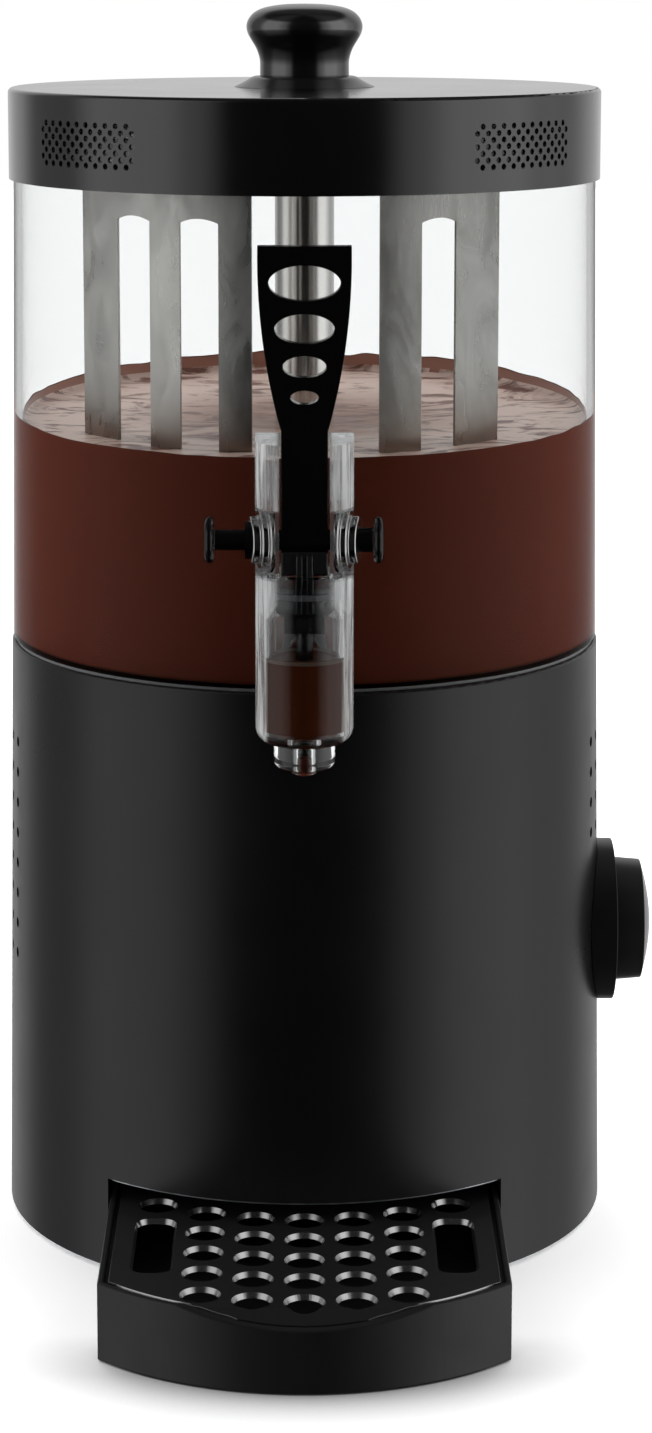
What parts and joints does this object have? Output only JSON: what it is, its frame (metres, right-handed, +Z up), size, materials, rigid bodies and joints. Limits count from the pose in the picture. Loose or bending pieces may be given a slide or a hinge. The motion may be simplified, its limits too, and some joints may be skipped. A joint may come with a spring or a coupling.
{
  "type": "hot chocolate dispenser machine",
  "caption": "Countertop hot drink dispenser with heated base, clear bowl, turning agitator, lever tap, lift-off lid, drip tray and side dial.",
  "frame": {"origin": "where the axis of the round casing meets the surface that the rubber feet stand on", "axes": "+Z up along the axis of the casing, bowl and lid; -Y to the front, where the tap and the drip tray are; +X to the machine's right as seen from the front, where the control dial is"},
  "size_m": [0.2531, 0.3233, 0.4682],
  "materials": {
    "satin_black_steel": "satin black enamel on sheet steel",
    "gloss_black_steel": "semi-gloss black enamel on sheet steel",
    "galvanised_steel": "galvanised sheet",
    "stainless_tank": "drawn stainless sheet",
    "clear_plastic": "clear moulded polycarbonate",
    "black_plastic": "satin moulded plastic",
    "dial_plastic": "satin moulded plastic",
    "gloss_black_plastic": "polished phenolic plastic",
    "dark_grey_plastic": "moulded plastic",
    "tap_plastic": "glossy moulded plastic",
    "polished_stainless": "polished stainless steel",
    "brushed_stainless": "brushed stainless sheet",
    "plain_steel": "turned and zinc-plated steel",
    "cast_aluminium": "as cast",
    "control_body": "cream moulded plastic",
    "brass_tags": "plain",
    "gland_plastic": "moulded nylon",
    "bearing_plastic": "acetal",
    "black_rubber": "moulded rubber",
    "silicone": "grey silicone"
  },
  "bodies": {
    "base": {"casing_shell": "satin_black_steel", "base_plate": "galvanised_steel", "base_screws": "plain_steel", "rubber_feet": "black_rubber", "casing_tabs": "satin_black_steel", "tray_bay": "galvanised_steel", "water_tank": "stainless_tank", "heater_ring": "cast_aluminium", "thermal_cutout": "control_body", "bowl_seal": "silicone", "motor_bracket": "galvanised_steel", "motor_screws": "plain_steel", "gearbox": "plain_steel", "motor_can": "plain_steel", "shaft_bush": "bearing_plastic", "shaft_seal": "silicone", "thermostat": "control_body", "thermostat_tags": "brass_tags", "dial_bezel": "dial_plastic", "terminal_block": "control_body", "cord_gland": "gland_plastic", "gland_nut": "gland_plastic"},
    "drive_shaft": {"drive_shaft": "plain_steel"},
    "dial": {"control_dial": "dial_plastic", "dial_spindle": "plain_steel"},
    "bowl": {"bowl_shell": "clear_plastic", "tap_housing": "clear_plastic", "tap_nozzle": "clear_plastic", "tap_gasket": "silicone", "tap_nut": "tap_plastic", "pivot_pin": "tap_plastic", "pivot_pin_cap": "tap_plastic", "pivot_washers": "tap_plastic", "pivot_collar": "tap_plastic"},
    "lid": {"lid_shell": "gloss_black_steel", "lid_knob": "gloss_black_plastic", "knob_foot": "dark_grey_plastic", "knob_screw": "plain_steel"},
    "agitator": {"agitator_tube": "polished_stainless", "left_paddle": "brushed_stainless", "right_paddle": "brushed_stainless", "upper_spokes": "brushed_stainless", "lower_spokes": "brushed_stainless", "agitator_hub": "polished_stainless", "agitator_cap": "polished_stainless"},
    "tap_lever": {"tap_lever": "tap_plastic", "crank_pin": "plain_steel"},
    "tap_plunger": {"plunger": "dark_grey_plastic", "plunger_ring": "silicone", "plunger_valve": "silicone"},
    "drip_tray": {"drip_tray": "black_plastic"},
    "drip_grille": {"drip_grille": "black_plastic"}
  },
  "joints": [
    {"name": "bowl_lift", "type": "slide", "parent": "base", "child": "bowl", "axis": [0, 0, 1], "range_m": [0, 0.22]},
    {"name": "lid_lift", "type": "slide", "parent": "bowl", "child": "lid", "axis": [0, 0, 1], "range_m": [0, 0.08]},
    {"name": "agitator_spin", "type": "hinge", "parent": "bowl", "child": "agitator", "pos_m": [0, 0, 0.3], "axis": [0, 0, 1], "continuous": true},
    {"name": "drive_shaft_spin", "type": "hinge", "parent": "base", "child": "drive_shaft", "pos_m": [0, 0, 0.15], "axis": [0, 0, 1], "continuous": true},
    {"name": "lever_pull", "type": "hinge", "parent": "bowl", "child": "tap_lever", "pos_m": [0, -0.15, 0.288], "axis": [1, 0, 0], "range_deg": [0, 18]},
    {"name": "plunger_lift", "type": "slide", "parent": "bowl", "child": "tap_plunger", "axis": [0, 0, 1], "range_m": [0, 0.0036]},
    {"name": "tray_slide", "type": "slide", "parent": "base", "child": "drip_tray", "axis": [0, -1, 0], "range_m": [0, 0.15]},
    {"name": "grille_tilt", "type": "hinge", "parent": "drip_tray", "child": "drip_grille", "pos_m": [0, -0.0635, 0.0272], "axis": [-1, 0, 0], "range_deg": [0, 3.4]},
    {"name": "dial_turn", "type": "hinge", "parent": "base", "child": "dial", "pos_m": [0.12, 0, 0.1105], "axis": [1, 0, 0], "range_deg": [0, 270]}
  ],
  "couplings": [
    {"joint": "drive_shaft_spin", "follows": "agitator_spin", "ratio": 1},
    {"joint": "plunger_lift", "follows": "lever_pull", "m_per_rad": 0.011}
  ]
}
